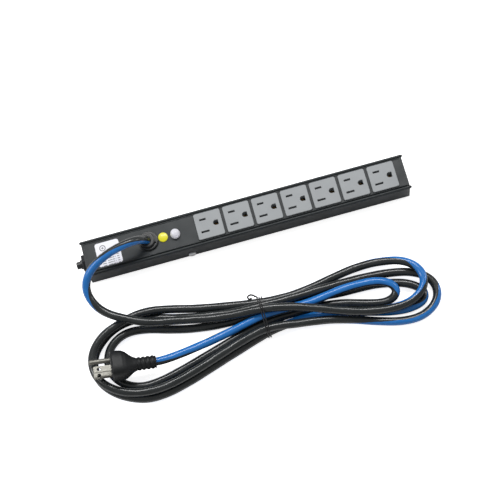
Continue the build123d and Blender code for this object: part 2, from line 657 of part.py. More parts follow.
def make_leads():
    """The insulated conductors inside the housing, by node name."""
    start = entry_point(JACKET_START_Z) - entry_direction() * LEAD_GAP
    leaving = start - entry_direction() * 1.5
    side = Vector(0, LEAD_APART, 0)
    crosswise = Vector(entry_direction().Z, 0, -entry_direction().X) * LEAD_APART
    rear = BREAKER_SLEEVE_X + LEAD_GAP
    bus_x, bus_z = BUS_SLEEVE_X - LEAD_GAP, BAR_Z + BAR_THICK / 2

    def at_breaker(z):
        return [(rear + 3.0, 0, z), (rear, 0, z)]

    def at_bus(y):
        return [(bus_x - 2.5, y, bus_z), (bus_x, y, bus_z)]

    return {
        "hot_lead": [
            start + side, leaving + side, (-96, 1.4, 8), (-103, -0.8, 8.6), (-108.6, -1.6, 14),
            *at_breaker(BREAKER_Z + TERMINAL_Z),
        ],
        "breaker_load_lead": [
            *reversed(at_breaker(BREAKER_Z - TERMINAL_Z)), (-103, 3, 7.4), (-90, 5.2, 6.4), (-78, 5.6, 7.2),
            *at_bus(HOT_Y),
        ],
        "neutral_lead": [
            start - side, leaving - side, (-90.5, -5, 8), (-78, -6, 7), *at_bus(-HOT_Y),
        ],
        "ground_lead": [
            start + crosswise, leaving + crosswise, (-87, -0.8, 10.4), (-80, -3.5, 11.5), (-72, -10, 14),
            (-65.8, -12.5, 14.2),
        ],
        "ground_jumper": [
            (-54.3, -11.6, 14.2), (-54.2, -9, 17), (-60, -5.3, 16.6), (-66, -4.4, 15.5), (-69.6, -2.2, 13.3),
            *at_bus(0),
        ],
    }


def crimp_sleeve(rear, end, middle, width, thick):
    """A female push-on terminal over a flat blade, from its rear to its mouth along X."""
    y, z = middle
    outer_y = (y - width / 2 - SLEEVE_WALL, y + width / 2 + SLEEVE_WALL)
    outer = box((min(rear, end), max(rear, end)), outer_y, (z - SLEEVE_HALF, z + SLEEVE_HALF))
    inner_y = (y - width / 2 - RUNNING, y + width / 2 + RUNNING)
    inner_z = (z - thick / 2 - RUNNING, z + thick / 2 + RUNNING)
    wall = 1.0 if end > rear else -1.0
    mouth = (min(rear + wall, end + wall), max(rear + wall, end + wall))
    return outer - box(mouth, inner_y, inner_z)


def make_wire_terminals():
    """Push-on terminals on the two breaker blades and the three bus bar tabs."""
    rear = BREAKER_SLEEVE_X - RUNNING
    sleeves = []
    for z in (BREAKER_Z - TERMINAL_Z, BREAKER_Z + TERMINAL_Z):
        end = rear - BREAKER_SLEEVE_LENGTH
        sleeves.append(crimp_sleeve(rear, end, (0, z), TERMINAL_WIDTH, TERMINAL_THICK))
    for y in (-HOT_Y, 0, HOT_Y):
        start = BUS_SLEEVE_X + RUNNING
        middle = (y, BAR_Z + BAR_THICK / 2)
        sleeves.append(crimp_sleeve(start, start + BUS_SLEEVE_LENGTH, middle, 2 * BAR_HALF, BAR_THICK))
    return sleeves


def ring_terminal(y, side):
    """A ring terminal on the bonding screw whose barrel points up and to one side."""
    washer = ring((BOND_X, y, BOND_Z), (BOND_X, y + RING_THICK, BOND_Z), RING_R, BOND_R + RUNNING)
    lean = Vector(side * math.sqrt(0.5), 0, math.sqrt(0.5))
    root = Vector(BOND_X, y + RING_THICK / 2, BOND_Z) + lean * (RING_R - 0.4)
    return washer + rod(root, root + lean * 3.0, RING_THICK / 2 + 0.9) - washer_clearance(y)


def washer_clearance(y):
    """The space beside a ring terminal that its barrel keeps out of."""
    near = (BOND_X - 8, BOND_X + 8)
    lower = box(near, (y - 3, y), (BOND_Z - 6, BOND_Z + 8))
    return lower + box(near, (y + RING_THICK, y + RING_THICK + 3), (BOND_Z - 6, BOND_Z + 8))


def make_bonding_screw():
    """A pan-head screw through the side wall, which bonds the channel to ground."""
    wall = -WALL_HALF
    head = rod((BOND_X, wall - 2.0, BOND_Z), (BOND_X, wall, BOND_Z), BOND_HEAD_R)
    head = fillet(head.edges().sort_by(Axis.Y)[:1], 1.2)
    shank = rod((BOND_X, wall - 1, BOND_Z), (BOND_X, -10.6, BOND_Z), BOND_R)
    recess = box((BOND_X - 2.4, BOND_X + 2.4), (wall - 3, wall - 1.0), (BOND_Z - 0.4, BOND_Z + 0.4))
    return head + shank - recess - Pos(BOND_X, 0, BOND_Z) * Rot(0, 90, 0) * Pos(-BOND_X, 0, -BOND_Z) * recess


def make_bonding_nut():
    """The nut inside the wall."""
    plane = Plane(origin=(BOND_X, BOND_NUT[0], BOND_Z), z_dir=(0, 1, 0))
    hexagon = RegularPolygon(BOND_NUT_HALF, 6, major_radius=False, rotation=30)
    nut = extrude(plane * hexagon, BOND_NUT[1] - BOND_NUT[0])
    return nut - rod((BOND_X, BOND_NUT[0] - 1, BOND_Z), (BOND_X, BOND_NUT[1] + 1, BOND_Z), BOND_R + RUNNING)


def make_lamp_leads():
    """Thin leads from each lamp to its resistor, and on to the hot and neutral conductors."""
    leads = []
    floor = LAMP_FLOOR - 2 * THIN_WIRE_R
    for x, hot_end, neutral_end in (
        (YELLOW_LAMP_X, (7.6, 8.8), (-5.5, 10.0)),
        (CLEAR_LAMP_X, (8.6, 11.6), (-HOT_Y, 12.8)),
    ):
        leads.append([(x + 1, 1.2, floor), (x + 1.3, 2.8, 15), (x + 1.5, 4.2, 14)])
        leads.append([(x + 1.5, 9.8, 14), (x + 1.5, 10.2, 12.8), (x + 1.5, *hot_end)])
        leads.append([(x - 1, -1.2, floor), (x - 1.4, -4, 13), (x - 1, *neutral_end)])
    return [wire(points, THIN_WIRE_R) for points in leads]


# --- Plug --------------------------------------------------------------------------------------------

def plug_frame():
    """The plug's frame at its face: x across the blades, y towards the ground pin, z out of the face."""
    out = (PLUG_FACE - PLUG_REAR).normalized()
    across = (BLADE_SIDE - out * BLADE_SIDE.dot(out)).normalized()
    return Plane(origin=PLUG_FACE, x_dir=across, z_dir=out)


def plug_pocket(clearance):
    """The block in the plug's face that holds the blades, grown by a clearance."""
    x, y, z = PLUG_INSERT
    size = Box(x + 2 * clearance, y + 2 * clearance, z + 2 * clearance)
    return Pos(0, INSERT_SHIFT, -z / 2) * size


def make_plug_body():
    """A moulded grip that narrows to a ribbed strain relief."""
    length = (PLUG_FACE - PLUG_REAR).length
    wide, tall = PLUG_FACE_SIZE
    outlines = [
        Pos(0, 1, 0) * RectangleRounded(wide - 1.5, tall - 1.5, 7.5),
        Pos(0, 1, -1.2) * RectangleRounded(wide, tall, 8.0),
        Pos(0, 0.8, -8) * RectangleRounded(wide - 0.5, tall - 1, 8.0),
        Pos(0, 0.3, -17) * RectangleRounded(18.5, 20, 7.5),
        Pos(0, 0, -PLUG_BODY_LENGTH) * RectangleRounded(2 * PLUG_NECK_R, 2 * PLUG_NECK_R, PLUG_NECK_R - 0.4),
    ]
    grip = loft(outlines)
    neck = Cylinder(PLUG_NECK_R - 0.6, length - PLUG_BODY_LENGTH)
    neck = Pos(0, 0, -(PLUG_BODY_LENGTH + length) / 2) * neck
    body = grip + neck
    for i in range(RIBS):
        middle = -PLUG_BODY_LENGTH - RIB_PITCH * (i + 0.5)
        body += Pos(0, 0, middle) * Cylinder(PLUG_NECK_R, RIB_WIDTH)
    bore = Pos(0, 0, -length + PLUG_GRIP / 2 - 1) * Cylinder(CORD_R + CORD_GAP, PLUG_GRIP + 2)
    return plug_frame() * (body - bore - plug_pocket(0.03))


def make_plug_insert():
    """The stiff block that holds the blades and the pin in line."""
    insert = plug_pocket(0)
    root = 2 * BLADE_ROOT
    for x in (-SLOT_SPACING / 2, SLOT_SPACING / 2):
        insert -= Pos(x, -BLADE_DROP, 0) * Box(BLADE_THICK + 0.04, BLADE_WIDTH + 0.04, root)
    insert -= Pos(0, GROUND_OFFSET - BLADE_DROP, 0) * Cylinder(PIN_ROOT_R + 0.02, root)
    return plug_frame() * insert


def make_blade(x):
    """A flat plug blade with its retaining hole and a narrowed tip."""
    length = BLADE_LENGTH + BLADE_ROOT
    blade = Pos(x, -BLADE_DROP, (BLADE_LENGTH - BLADE_ROOT) / 2) * Box(BLADE_THICK, BLADE_WIDTH, length)
    blade = chamfer(blade.edges().group_by(Axis.Z)[-1].filter_by(Axis.Y), 0.5)
    blade = chamfer(blade.edges().filter_by(Axis.X).sort_by(Axis.Z)[-2:], 1.0)
    hole = Pos(x, -BLADE_DROP, BLADE_HOLE_AT) * Rot(0, 90, 0) * Cylinder(BLADE_HOLE_R, 3)
    return plug_frame() * (blade - hole)


def make_ground_pin():
    """The round grounding pin with a domed tip and a thicker root held in the insert."""
    straight = PIN_LENGTH - PIN_R
    pin = Pos(0, 0, straight / 2) * Cylinder(PIN_R, straight) + Pos(0, 0, straight) * Sphere(PIN_R)
    root = Pos(0, 0, -BLADE_ROOT / 2) * Cylinder(PIN_ROOT_R, BLADE_ROOT)
    return plug_frame() * Pos(0, GROUND_OFFSET - BLADE_DROP, 0) * (pin + root)


# --- Assembly ----------------------------------------------------------------------------------------

def make_nodes():
    """Every node's solids, by name."""
    bushing, lock = make_strain_relief()
    lamps = (YELLOW_LAMP_X, CLEAR_LAMP_X)
    nodes = {
        "housing_channel": make_housing_channel(),
        "face_plate": make_face_plate(),
        "end_cap_left": make_end_cap(-1),
        "end_cap_right": make_end_cap(1),
        "end_cap_screws": make_end_cap_screws(),
        "insulating_liner": make_insulating_liner(),
        "rating_label": make_rating_label(),
        "hot_bus_bar": make_blade_bar(HOT_Y),
        "neutral_bus_bar": make_blade_bar(-HOT_Y),
        "ground_bus_bar": make_ground_bar(),
        "breaker_case": make_breaker_case(),
        "breaker_button": make_breaker_button(),
        "breaker_spring": make_breaker_spring(),
        "breaker_bridge": make_breaker_bridge(),
        "breaker_line_terminal": make_breaker_terminal(1),
        "breaker_load_terminal": make_breaker_terminal(-1),
        "breaker_bimetal": make_breaker_bimetal(),
        "breaker_nut": make_breaker_nut(),
        "breaker_lock_washer": make_breaker_washer(),
        "clear_lamp_lens": make_lens(CLEAR_LAMP_X, 3.6, 3.4),
        "yellow_lamp_lens": make_lens(YELLOW_LAMP_X, 1.05, 0.6),
        "lamp_bodies": [lamp_body(x) for x in lamps],
        "lamp_clips": [lamp_clip(x) for x in lamps],
        "neon_bulbs": [neon_bulb(x) for x in lamps],
        "lamp_resistors": [lamp_resistor(x) for x in lamps],
        "lamp_leads": make_lamp_leads(),
        "power_cord": make_power_cord(),
        "strain_relief_bushing": bushing,
        "strain_relief_lock": lock,
        "twist_tie": make_twist_tie(),
        "wire_terminals": make_wire_terminals(),
        "bonding_screw": make_bonding_screw(),
        "bonding_nut": make_bonding_nut(),
        "ground_ring_terminals": [
            ring_terminal(BOND_NUT[1], -1),
            ring_terminal(BOND_NUT[1] + RING_THICK, 1),
        ],
        "plug_body": make_plug_body(),
        "plug_insert": make_plug_insert(),
        "hot_blade": make_blade(SLOT_SPACING / 2),
        "neutral_blade": make_blade(-SLOT_SPACING / 2),
        "ground_pin": make_ground_pin(),
    }
    for i, x in enumerate(OUTLET_X, start=1):
        nodes[f"outlet_{i}_face"] = make_outlet_face(x)
        nodes[f"outlet_{i}_back"] = make_outlet_back(x)
    for name, points in make_leads().items():
        nodes[name] = long_bar([Vector(*point) for point in points], WIRE_R)
    return nodes


def write_parts():
    """Writes each node to parts/ as a STEP file."""
    os.makedirs("parts", exist_ok=True)
    for name, shape in make_nodes().items():
        pieces = shape if isinstance(shape, list) else [shape]
        solids = [solid for piece in pieces for solid in piece.solids()]
        export_step(Compound(children=solids, label=name), f"parts/{name}.step")


write_parts()
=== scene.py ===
"""The rack power strip's looks: procedural materials on the CAD frame, and finer meshes for the soft pieces.

The frame is in metres. Lengths in this script are in millimetres and go through mm() on the way in.
"""

import math

import bpy
import numpy as np
from mathutils import Matrix, Vector


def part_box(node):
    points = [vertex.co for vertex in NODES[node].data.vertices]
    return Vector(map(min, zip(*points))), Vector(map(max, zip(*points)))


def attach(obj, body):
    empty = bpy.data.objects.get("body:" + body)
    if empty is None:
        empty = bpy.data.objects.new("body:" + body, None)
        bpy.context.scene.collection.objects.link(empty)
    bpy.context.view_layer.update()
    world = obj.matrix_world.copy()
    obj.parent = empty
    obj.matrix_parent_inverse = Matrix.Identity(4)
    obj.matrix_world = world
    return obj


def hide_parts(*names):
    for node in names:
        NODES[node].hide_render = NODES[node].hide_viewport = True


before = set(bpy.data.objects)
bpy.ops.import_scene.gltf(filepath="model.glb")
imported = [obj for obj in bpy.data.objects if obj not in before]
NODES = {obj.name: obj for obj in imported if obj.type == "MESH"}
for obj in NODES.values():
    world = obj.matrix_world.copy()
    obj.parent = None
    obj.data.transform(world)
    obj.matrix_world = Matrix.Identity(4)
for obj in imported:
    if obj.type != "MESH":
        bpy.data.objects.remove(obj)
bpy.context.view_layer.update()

# The cord's route, the same as the CAD cord's: each stretch runs on from the one before
COIL = {
    "entry": [(-92.3, 0, 14), (-96, 0, 25.5), (-99.8, 0, 37)],
    "arch": [(-112, -2.5, 50.5), (-127, -5, 51), (-144, -10, 48.5), (-159, -17.5, 41.5), (-166.5, -26.5, 34)],
    "lead_down": [(-168, -34.5, 28.5), (-165.5, -43.5, 25), (-156, -56, 22), (-139, -67, 21.5), (-121, -75, 19)],
    "lead_pass": [(-98, -79.5, 15), (-70, -85, 13), (-40, -90.5, 15.5), (-8, -94, 20.5), (18, -99.5, 21.5)],
    "lead_far": [(42, -107, 19), (68, -116, 15.5), (96, -123.5, 13.5), (121, -125.5, 13), (138, -121.5, 13)],
    "first_turn": [(148, -113, 13.5), (151, -104, 13.5), (149, -95, 13.5), (139.5, -84.5, 12.5), (122.5, -77.5, 9.5)],
    "second_pass": [(101, -74.5, 6), (78, -76, 4.5), (52, -80.5, 4.5), (25, -84, 5), (-8, -83, 6)],
    "second_far": [(-42, -77, 4.5), (-75, -70.5, 5.5), (-100, -65, 8.5), (-124, -63.5, 12.5), (-146, -68, 13)],
    "outer_left": [(-165, -76, 13), (-177, -88, 13), (-181.5, -102, 13), (-179, -115.5, 13), (-167.5, -129.5, 13)],
    "third_pass": [(-148, -138.5, 12), (-125, -141, 11.5), (-96, -136, 11.5), (-60, -125, 11.5), (-28, -115.5, 12.5)],
    "third_far": [(-8, -112.5, 14.5), (18, -115, 13.5), (43, -118, 11), (66, -122.5, 8), (93, -131, 5)],
    "outer_right": [(115, -137.5, 4.5), (139, -138.5, 4.5), (155.5, -129.5, 4.5), (161, -117, 4.5), (157.5, -105, 4.5)],
    "fourth_pass": [(144, -94.5, 4.5), (121, -88.5, 4.5), (98, -86.5, 5), (76, -86.5, 7), (52, -87.5, 10.5)],
    "fourth_far": [(25, -89, 13), (-8, -88.5, 13), (-34, -86.5, 9), (-60, -82, 5.5), (-95, -74.5, 4.5)],
    "hidden_left": [(-122.5, -67, 4.5), (-146, -67.5, 4.5), (-166, -77.5, 4.5), (-178, -91.5, 4.5), (-181, -106, 4.5)],
    "fifth_pass": [(-176, -121.5, 4.5), (-160.5, -136.5, 4.5), (-136, -146, 4.5), (-106, -143.5, 4.5), (-62, -130.5, 4.5)],
    "fifth_far": [(-28, -120, 5), (-8, -114.5, 6), (20, -110.5, 4.5), (52, -111.5, 4.5), (79.5, -117.5, 4.5)],
    "inner_right": [(108.5, -125.5, 4.5), (135, -127.5, 4.5), (147, -121.5, 4.5), (148, -117, 4.5), (140.5, -107, 4.5)],
    "sixth_pass": [(121, -99, 4.5), (98, -95.5, 4.5), (76, -95, 4.5), (52, -93.5, 4.5), (-8, -93.5, 6)],
    "sixth_far": [(-40, -94, 4.5), (-70, -91.5, 4.5), (-100, -85, 4.5), (-125, -78, 4.5), (-144, -77.5, 4.5)],
    "inner_left": [(-158, -84.5, 4.5), (-165.5, -96, 4.5), (-166, -111, 4.5), (-158, -124, 4.5), (-141, -132.5, 4.5)],
    "seventh_pass": [(-116, -131.5, 4.5), (-84, -123.5, 4.5), (-54, -115, 4.5), (-24, -107, 5), (-8, -104.5, 6)],
    "seventh_far": [(20, -102, 4.5), (48, -102.5, 4.5), (74, -107, 4.5), (100, -114.5, 5), (116, -115, 7.5)],
    "small_turn": [(121, -111.5, 9.5), (122, -108.5, 10.5), (120.5, -104, 12), (112.5, -98, 13.5), (91, -94, 13.5)],
    "tail_pass": [(68, -94.5, 13), (44, -97.5, 12.5), (18, -98.5, 13), (-8, -99, 13), (-40, -104, 10)],
    "tail_end": [(-66, -109, 11), (-90, -113.5, 15), (-120.4, -115.7, 17.2)],
}

# Which way the jacket's blue band faces at points along the route; it turns smoothly between them
BAND = {
    ("entry", 0): (-0.5, -0.85, -0.1),
    ("entry", 2): (-0.3, -0.95, -0.35),
    ("arch", 0): (-0.1, -0.95, -0.15),
    ("arch", 2): (0.3, -0.85, 0.45),
    ("arch", 3): (0.1, -0.5, 0.85),
    ("arch", 4): (-0.5, -0.3, 0.75),
    ("lead_down", 0): (-0.8, -0.15, 0.5),
    ("lead_down", 1): (-0.9, -0.05, -0.05),
    ("lead_down", 2): (-0.3, -0.1, -0.9),
    ("lead_down", 3): (0.1, 0.2, -1),
    ("lead_pass", 1): (0, 0.3, -1),
    ("lead_far", 2): (0, 0.4, -1),
    ("lead_far", 3): (-0.1, 0.9, -0.3),
    ("first_turn", 0): (-0.6, 0.5, 0.45),
    ("first_turn", 1): (-0.4, 0, 1),
    ("first_turn", 2): (0.1, 0, 1),
    ("first_turn", 3): (0.4, 0.8, 0.3),
    ("first_turn", 4): (0.1, 0.95, -0.2),
    ("second_pass", 0): (0, 0.8, -0.6),
    ("second_pass", 1): (0, 0.4, -0.9),
    ("second_far", 2): (0, 0.2, -1),
    ("outer_left", 2): (0.3, 0, -1),
    ("third_pass", 2): (0, 0.35, -1),
    ("third_far", 2): (0, 0.2, -1),
    ("third_far", 3): (0, -0.35, -0.9),
    ("third_far", 4): (0, -0.9, -0.2),
    ("outer_right", 0): (0, -0.9, 0.3),
    ("outer_right", 2): (0.6, -0.7, 0.3),
    ("outer_right", 3): (0.9, -0.4, 0),
    ("outer_right", 4): (0.2, 0, -1),
    ("fourth_pass", 4): (0, 0.2, -1),
    ("hidden_left", 2): (0.3, 0.1, -1),
    ("fifth_pass", 4): (0, 0.3, -1),
    ("fifth_far", 0): (0, 0.3, -1),
    ("fifth_far", 1): (0, 0.9, 0),
    ("fifth_far", 2): (0, 0.7, 0.6),
    ("fifth_far", 4): (0, -0.4, 0.85),
    ("inner_right", 1): (0.1, -0.9, 0.4),
    ("inner_right", 3): (0.8, -0.3, -0.4),
    ("sixth_pass", 1): (0, 0.2, -1),
    ("inner_left", 2): (0.3, 0.1, -1),
    ("seventh_far", 1): (0, 0.1, -1),
    ("seventh_far", 4): (0.2, 0.3, -1),
    ("small_turn", 0): (0.9, 0.2, 0),
    ("small_turn", 1): (0.7, 0.2, 0.6),
    ("small_turn", 3): (0, 0.3, 1),
    ("tail_pass", 3): (0, 0.3, 1),
    ("tail_pass", 4): (0, -0.1, 1),
    ("tail_end", 0): (0, -0.45, 0.85),
    ("tail_end", 1): (0, 0.4, 0.9),
    ("tail_end", 2): (0, 0.7, 0.7),
}
BAND_HALF = 70
CORD_R = 4.1
CORD_SIDES = 36
RING_STEP = 1.4
# The three conductors show through the jacket as a slight twisted ripple
CORD_LAY = 75
CORD_RIPPLE = 0.012

# Plug, as in the CAD
PLUG_FACE = Vector((-163.5, -111.5, 23.8))
PLUG_REAR = Vector((-120.4, -115.7, 17.2))
BLADE_SIDE = Vector((0.13, 0.23, 0.96))

# Twist tie
TIE_X = -8
TIE_WIRE_R = 0.62
TIE_GAP = 0.3

# Camera: where it stands, which way it looks and which way is up
CAMERA_AT = Vector((-19.2, -510.4, 1513.4))
CAMERA_FORWARD = Vector((0.00952, 0.30457, -0.95244))
CAMERA_UP = Vector((0.26475, 0.91773, 0.29611))
CAMERA_LENS = 115.2

# How much the floor is lifted towards white where the camera sees it
FLOOR_GLOW = 0.8


def mm(point):
    """A point in millimetres, as a vector in metres."""
    return Vector(point) * 0.001


# --- Materials ---------------------------------------------------------------------------------------

class Shader:
    """A node material being built round one Principled BSDF."""

    def __init__(self, name):
        self.material = bpy.data.materials.new(name)
        self.material.use_nodes = True
        self.tree = self.material.node_tree
        self.surface = self.tree.nodes["Principled BSDF"]
        self.place = self.node("ShaderNodeTexCoord").outputs["Object"]

    def node(self, kind, **values):
        """A new node with some of its settings."""
        made = self.tree.nodes.new(kind)
        for key, value in values.items():
            setattr(made, key, value)
        return made

    def plug(self, value, socket):
        """Joins an output to an input, or sets the input to a plain value."""
        if isinstance(value, bpy.types.NodeSocket):
            self.tree.links.new(value, socket)
        else:
            socket.default_value = value

    def noise(self, scale, detail=4.0, place=None):
        """Cloudy noise between 0 and 1."""
        made = self.node("ShaderNodeTexNoise")
        self.plug(place or self.place, made.inputs["Vector"])
        made.inputs["Scale"].default_value = scale
        made.inputs["Detail"].default_value = detail
        return made.outputs["Fac"]

    def stretch(self, scale):
        """The object's coordinates scaled along each axis, for grain that runs one way."""
        made = self.node("ShaderNodeMapping")
        self.plug(self.place, made.inputs["Vector"])
        made.inputs["Scale"].default_value = scale
        return made.outputs["Vector"]

    def math(self, operation, a, b=0.0, clamp=False):
        """One arithmetic step."""
        made = self.node("ShaderNodeMath", operation=operation, use_clamp=clamp)
        self.plug(a, made.inputs[0])
        self.plug(b, made.inputs[1])
        return made.outputs[0]

    def spread(self, source, low, high, start, end):
        """source from low to high becomes start to end."""
        made = self.node("ShaderNodeMapRange")
        self.plug(source, made.inputs["Value"])
        made.inputs["From Min"].default_value = low
        made.inputs["From Max"].default_value = high
        made.inputs["To Min"].default_value = start
        made.inputs["To Max"].default_value = end
        return made.outputs["Result"]

    def mix(self, factor, a, b):
        """A colour between a and b."""
        made = self.node("ShaderNodeMix", data_type="RGBA")
        self.plug(factor, made.inputs["Factor"])
        self.plug(a, made.inputs["A"])
        self.plug(b, made.inputs["B"])
        return made.outputs["Result"]

    def edges(self, radius):
        """How far the surface bends within a radius, and the normal with its edges rounded off."""
        rounded = self.node("ShaderNodeBevel", samples=4)
        rounded.inputs["Radius"].default_value = radius
        flat = self.node("ShaderNodeNewGeometry").outputs["Normal"]
        dot = self.node("ShaderNodeVectorMath", operation="DOT_PRODUCT")
        self.plug(rounded.outputs["Normal"], dot.inputs[0])
        self.plug(flat, dot.inputs[1])
        return self.math("SUBTRACT", 1.0, dot.outputs["Value"]), rounded.outputs["Normal"]

    def bump(self, height, depth, normal=None):
        """A bumped normal; depth is in millimetres."""
        made = self.node("ShaderNodeBump")
        made.inputs["Strength"].default_value = 1.0
        made.inputs["Distance"].default_value = depth * 0.001
        self.plug(height, made.inputs["Height"])
        if normal:
            self.plug(normal, made.inputs["Normal"])
        return made.outputs["Normal"]

    def separate(self, vector=None):
        """The x, y and z of a vector."""
        made = self.node("ShaderNodeSeparateXYZ")
        self.plug(vector or self.place, made.inputs[0])
        return made.outputs


def rgba(colour, factor=1.0):
    """A colour with alpha, brightened or darkened."""
    return tuple(min(1.0, channel * factor) for channel in colour) + (1.0,)


def coat(name, colour, roughness, metallic=0.0, tint=0.12, grain=1500, depth=0.02, edge_wear_and_highlight=None, edge_wear_and_highlight_at=0.25,
         round_off=0.25, **inputs):
    """A slightly uneven surface: cloudy tint, fine grain, and paler rounded edges that stand for edge wear, and on the
    housing also for painted highlights along the rails.
    """
    shader = Shader(name)
    cloud = shader.noise(35, 5)
    speck = shader.noise(grain, 3)
    tone = shader.mix(cloud, rgba(colour, 1 - tint), rgba(colour, 1 + tint))
    tone = shader.mix(shader.spread(speck, 0.35, 0.75, 0.0, 0.35), tone, rgba(colour, 1 + 2 * tint))
    bend, rounded = shader.edges(round_off * 0.001)
    # Paler colour on rounded edges, in patches: edge wear, and on the housing a painted highlight along the rail edges
    if edge_wear_and_highlight:
        rubbed_and_lit_edges = shader.spread(bend, 0.02, 0.2, 0.0, 1.0)
        patchy = shader.spread(shader.noise(260, 6), 0.4, 0.62, 0.0, edge_wear_and_highlight_at)
        tone = shader.mix(shader.math("MULTIPLY", rubbed_and_lit_edges, patchy, clamp=True), tone, rgba(edge_wear_and_highlight))
    uneven = shader.spread(shader.noise(90, 6), 0.3, 0.7, roughness - 0.06, roughness + 0.07)
    shader.plug(tone, shader.surface.inputs["Base Color"])
    shader.plug(uneven, shader.surface.inputs["Roughness"])
    shader.plug(shader.bump(speck, depth, rounded), shader.surface.inputs["Normal"])
    shader.surface.inputs["Metallic"].default_value = metallic
    for key, value in inputs.items():
        shader.surface.inputs[key.replace("_", " ")].default_value = value
    return shader.material


def drawn_metal(name, colour, roughness, along=(1, 14, 14)):
    """Metal with fine lines along the direction it was rolled."""
    shader = Shader(name)
    lines = shader.noise(160, 4, shader.stretch(along))
    stain = shader.noise(120, 6)
    tone = shader.mix(stain, rgba(colour, 0.78), rgba(colour, 1.12))
    bend, rounded = shader.edges(0.0002)
    tone = shader.mix(shader.spread(bend, 0.02, 0.3, 0.0, 0.5), tone, rgba(colour, 1.3))
    shader.plug(tone, shader.surface.inputs["Base Color"])
    shader.plug(shader.spread(lines, 0.3, 0.7, roughness - 0.08, roughness + 0.1), shader.surface.inputs["Roughness"])
    shader.plug(shader.bump(lines, 0.01, rounded), shader.surface.inputs["Normal"])
    shader.surface.inputs["Metallic"].default_value = 1.0
    return shader.material


def clear_plastic(name, colour, clear, painted_glow=0.0, gloss=0.6):
    """A tinted lens that lets some light through, with a painted glow in its own colour that brightens it though the
    lamp is not lit.
    """
    shader = Shader(name)
    haze = shader.noise(300, 4)
    tone = shader.mix(haze, rgba(colour, 0.94), rgba(colour, 1.04))
    shader.plug(tone, shader.surface.inputs["Base Color"])
    shader.plug(shader.spread(haze, 0.3, 0.7, 0.32 - 0.4 * gloss, 0.4 - 0.35 * gloss), shader.surface.inputs["Roughness"])
    shader.plug(shader.bump(shader.noise(900, 2), 0.004), shader.surface.inputs["Normal"])
    shader.surface.inputs["Transmission Weight"].default_value = clear
    shader.surface.inputs["IOR"].default_value = 1.46
    shader.surface.inputs["Coat Weight"].default_value = gloss
    shader.surface.inputs["Coat Roughness"].default_value = 0.05
    # Painted glow: the lens gives off light in its own colour, though the lamp is not lit
    shader.surface.inputs["Emission Color"].default_value = rgba(colour)
    shader.surface.inputs["Emission Strength"].default_value = painted_glow
    return shader.material


def printed_label(name):
    """Pale label stock with a generic round badge and grey rows instead of print."""
    low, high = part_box("rating_label")
    shader = Shader(name)
    x, y, z = shader.separate()
    across = shader.spread(x, low[0], high[0], 0.0, 1.0)
    up = shader.spread(y, low[1], high[1], 0.0, 1.0)
    rows = shader.math("FRACT", shader.math("MULTIPLY", up, 11.0))
    inked = shader.math("LESS_THAN", rows, 0.42)
    words = shader.math("GREATER_THAN", shader.noise(420, 1, shader.stretch((1, 0.02, 1))), 0.42)
    lower = shader.math("LESS_THAN", up, 0.56)
    margin = shader.math("LESS_THAN", shader.math("ABSOLUTE", shader.math("SUBTRACT", across, 0.5)), 0.4)
    print_rows = shader.math("MULTIPLY", shader.math("MULTIPLY", inked, words), shader.math("MULTIPLY", lower, margin))
    centre = (low[0] + 0.3 * (high[0] - low[0]), low[1] + 0.76 * (high[1] - low[1]))
    aside = shader.math("SUBTRACT", x, centre[0])
    above = shader.math("SUBTRACT", y, centre[1])
    away = shader.math("SQRT", shader.math("ADD", shader.math("POWER", aside, 2), shader.math("POWER", above, 2)))
    badge = shader.math("LESS_THAN", shader.math("ABSOLUTE", shader.math("SUBTRACT", away, 0.0027)), 0.0005)
    dot = shader.math("LESS_THAN", away, 0.0011)
    ink = shader.math("MAXIMUM", shader.math("MAXIMUM", print_rows, badge), dot)
    stock = shader.mix(shader.noise(60, 4), (0.72, 0.73, 0.80, 1), (0.83, 0.83, 0.88, 1))
    tone = shader.mix(shader.math("MULTIPLY", ink, 0.75), stock, (0.05, 0.055, 0.06, 1))
    shader.plug(tone, shader.surface.inputs["Base Color"])
    shader.surface.inputs["Roughness"].default_value = 0.42
    shader.plug(shader.bump(shader.noise(1400, 3), 0.006), shader.surface.inputs["Normal"])
    return shader.material


def cord_jacket(name):
    """Black jacket with a blue band where the mesh's band attribute says."""
    shader = Shader(name)
    band = shader.node("ShaderNodeAttribute", attribute_name="band").outputs["Fac"]
    edge = math.cos(math.radians(BAND_HALF))
    wander = shader.spread(shader.noise(220, 3), 0.3, 0.7, -0.03, 0.03)
    blue = shader.spread(shader.math("ADD", band, wander), edge - 0.04, edge + 0.04, 0.0, 1.0)
    scuff = shader.noise(70, 6)
    black = shader.mix(scuff, (0.011, 0.013, 0.0135, 1), (0.022, 0.026, 0.027, 1))
    colour = shader.mix(scuff, (0.008, 0.13, 0.42, 1), (0.018, 0.18, 0.54, 1))
    grain = shader.noise(1300, 3)
    shader.plug(shader.mix(blue, black, colour), shader.surface.inputs["Base Color"])
    shader.plug(shader.spread(scuff, 0.3, 0.7, 0.21, 0.32), shader.surface.inputs["Roughness"])
    shader.plug(shader.bump(grain, 0.018), shader.surface.inputs["Normal"])
    shader.surface.inputs["Coat Weight"].default_value = 0.15
    shader.surface.inputs["Coat Roughness"].default_value = 0.25
    return shader.material


def paint(material, *names):
    """Gives CAD nodes a material."""
    for name in names:
        slots = NODES[name].material_slots
        for slot in slots:
            slot.material = material


